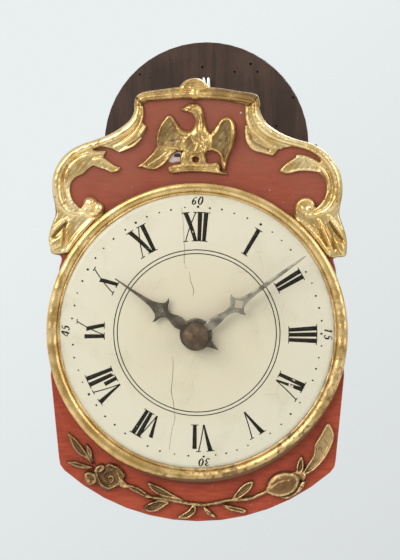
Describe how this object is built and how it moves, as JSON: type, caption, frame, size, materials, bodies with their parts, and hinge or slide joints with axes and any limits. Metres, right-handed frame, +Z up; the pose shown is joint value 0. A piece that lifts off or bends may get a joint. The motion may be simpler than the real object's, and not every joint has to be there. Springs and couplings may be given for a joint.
{
  "type": "wall clock",
  "caption": "Carved and gilded shield wall clock with a domed dial, pierced hands and a bird crest, in front of a weight-driven wooden-plate movement with lantern pinions.",
  "frame": {"origin": "in the wall plane, on the back board's rear face, straight behind the axis of the hands", "axes": "+Z up, +X to the right seen from the front, the dial faces -Y and +Y points into the wall"},
  "size_m": [0.166, 0.1309, 0.263],
  "materials": {
    "red_paint": "painted, worn satin",
    "gilding": "gilded over gesso, worn",
    "dial_paint": "painted, varnished",
    "brown_wood": "stained, matt",
    "pale_wood": "plain",
    "steel": "filed",
    "iron": "dark, turned",
    "brass": "cast and filed",
    "bronze": "dark patina"
  },
  "bodies": {
    "case": {"back_board": "brown_wood", "top_board": "brown_wood", "bottom_board": "brown_wood", "front_plate": "pale_wood", "back_plate": "pale_wood", "great_back_bush": "brass", "great_front_bush": "brass", "second_back_bush": "brass", "second_front_bush": "brass", "escape_back_bush": "brass", "escape_front_bush": "brass", "anchor_back_bush": "brass", "anchor_front_bush": "brass", "minute_front_bush": "brass", "left_door_bottom_pin": "iron", "left_door_top_pin": "iron", "right_door_bottom_pin": "iron", "right_door_top_pin": "iron", "top_left_dowel": "pale_wood", "top_right_dowel": "pale_wood", "bottom_left_dowel": "pale_wood", "bottom_right_dowel": "pale_wood", "hanging_loop": "steel", "suspension_wire": "steel", "intermediate_stud": "iron", "shield_board": "red_paint", "dial": "dial_paint", "dial_bezel": "gilding", "crest_moulding": "gilding", "left_scroll": "gilding", "right_scroll": "gilding", "eagle": "gilding", "flower_garland": "gilding"},
    "left_door": {"left_door": "brown_wood"},
    "right_door": {"right_door": "brown_wood"},
    "great_train": {"great_arbor": "iron", "great_wheel": "brass", "click": "steel", "drive_wheel": "brass"},
    "chain_wheel": {"chain_wheel": "pale_wood"},
    "second_train": {"second_arbor": "iron", "second_wheel": "brass", "second_pinion": "brass"},
    "escape_train": {"escape_arbor": "iron", "escape_wheel": "brass", "escape_pinion": "brass"},
    "anchor_and_crutch": {"anchor_arbor": "iron", "anchor": "steel", "crutch": "steel"},
    "minute_train": {"minute_arbor": "steel", "minute_wheel": "brass", "minute_hand": "steel", "hand_nut": "bronze"},
    "intermediate": {"intermediate_wheel": "brass"},
    "hour_train": {"hour_wheel": "brass", "hour_hand": "steel"}
  },
  "joints": [
    {"name": "left_door_hinge", "type": "hinge", "parent": "case", "child": "left_door", "pos_m": [-0.0615, -0.0145, 0], "axis": [0, 0, -1], "range_deg": [0, 95]},
    {"name": "right_door_hinge", "type": "hinge", "parent": "case", "child": "right_door", "pos_m": [0.0615, -0.0145, 0], "axis": [0, 0, 1], "range_deg": [0, 95]},
    {"name": "great_wheel_turn", "type": "hinge", "parent": "case", "child": "great_train", "pos_m": [0, -0.045, -0.018], "axis": [0, 1, 0], "continuous": true},
    {"name": "chain_wheel_wind", "type": "hinge", "parent": "great_train", "child": "chain_wheel", "pos_m": [0, -0.055, -0.018], "axis": [0, 1, 0], "continuous": true},
    {"name": "second_wheel_turn", "type": "hinge", "parent": "case", "child": "second_train", "pos_m": [0, -0.069, 0.0225], "axis": [0, 1, 0], "continuous": true},
    {"name": "escape_wheel_turn", "type": "hinge", "parent": "case", "child": "escape_train", "pos_m": [0, -0.048, 0.0555], "axis": [0, 1, 0], "continuous": true},
    {"name": "anchor_swing", "type": "hinge", "parent": "case", "child": "anchor_and_crutch", "pos_m": [0, -0.048, 0.07991], "axis": [0, 1, 0], "range_deg": [-3, 3]},
    {"name": "minute_hand_turn", "type": "hinge", "parent": "case", "child": "minute_train", "pos_m": [0, -0.087, 0], "axis": [0, 1, 0], "continuous": true},
    {"name": "intermediate_turn", "type": "hinge", "parent": "case", "child": "intermediate", "pos_m": [0.0135, -0.087, 0.02338], "axis": [0, 1, 0], "continuous": true},
    {"name": "hour_hand_turn", "type": "hinge", "parent": "case", "child": "hour_train", "pos_m": [0, -0.09, 0], "axis": [0, 1, 0], "continuous": true}
  ],
  "couplings": [
    {"joint": "second_wheel_turn", "follows": "great_wheel_turn", "ratio": -8},
    {"joint": "escape_wheel_turn", "follows": "great_wheel_turn", "ratio": 72},
    {"joint": "minute_hand_turn", "follows": "great_wheel_turn", "ratio": -1},
    {"joint": "intermediate_turn", "follows": "great_wheel_turn", "ratio": 0.5},
    {"joint": "hour_hand_turn", "follows": "great_wheel_turn", "ratio": -0.083333}
  ]
}
